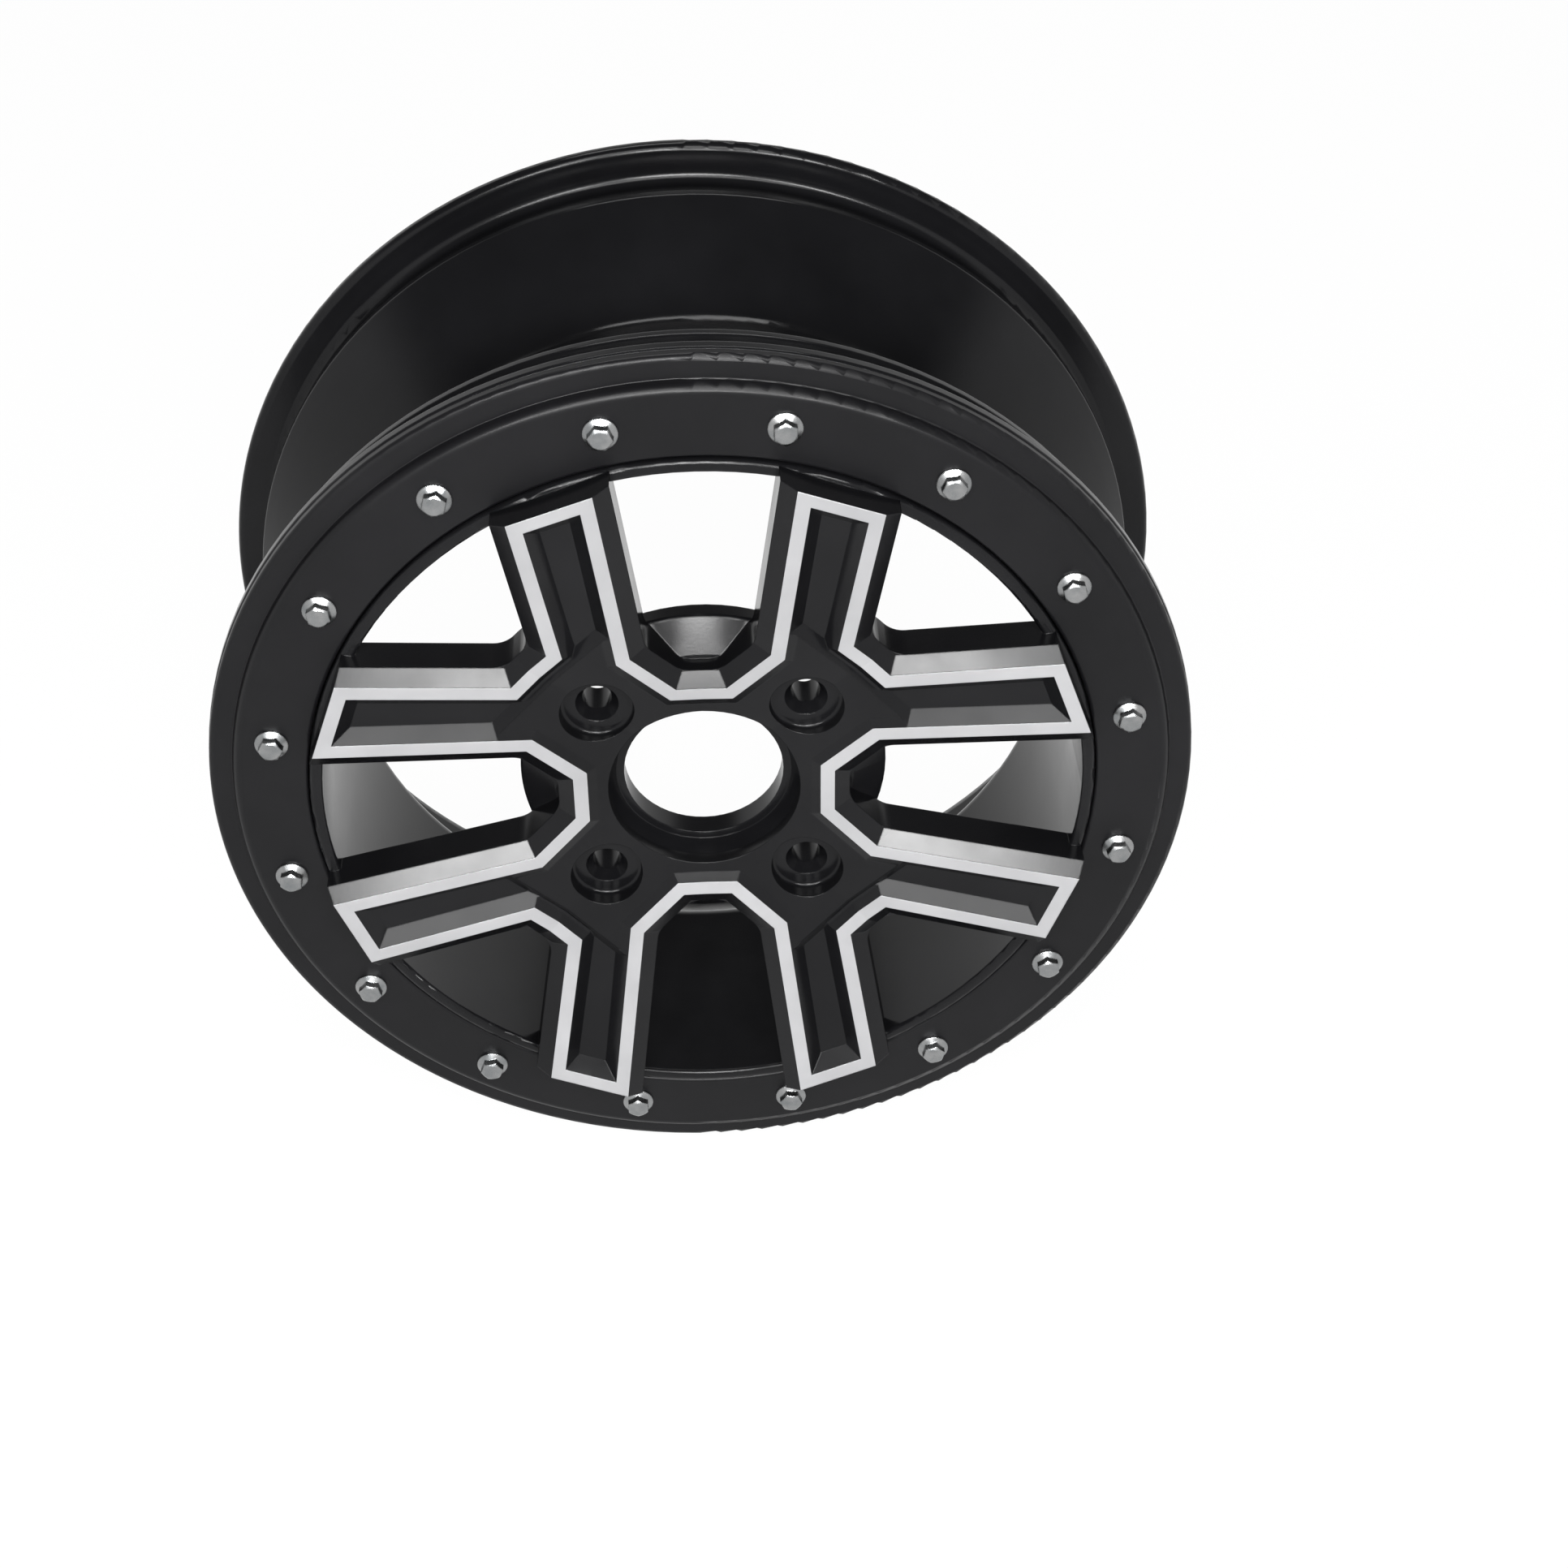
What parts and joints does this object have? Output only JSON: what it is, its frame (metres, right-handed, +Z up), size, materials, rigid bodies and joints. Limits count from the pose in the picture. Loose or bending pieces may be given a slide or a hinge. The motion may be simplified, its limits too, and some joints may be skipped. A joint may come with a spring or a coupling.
{
  "type": "atv wheel",
  "caption": "Cast off-road wheel without a tyre: deep drop-centre barrel, star of paired grooved spokes with a bright edge stripe, bolted front ring, centre bore and lug holes.",
  "frame": {"origin": "centre of the bore in the plane of the hub's mounting face", "axes": "+Y along the axle from the shown outer side to the vehicle, +Z up through the middle of a large window and the valve hole"},
  "size_m": [0.384, 0.1786, 0.384],
  "materials": {
    "black_coat": "satin black coating, bright cut land along the spokes' outline",
    "ring_coat": "satin black coating",
    "bolt_plating": "bright plating"
  },
  "bodies": {
    "root": {"wheel_body": "black_coat", "beadlock_ring": "ring_coat", "ring_bolts": "bolt_plating"}
  },
  "joints": []
}
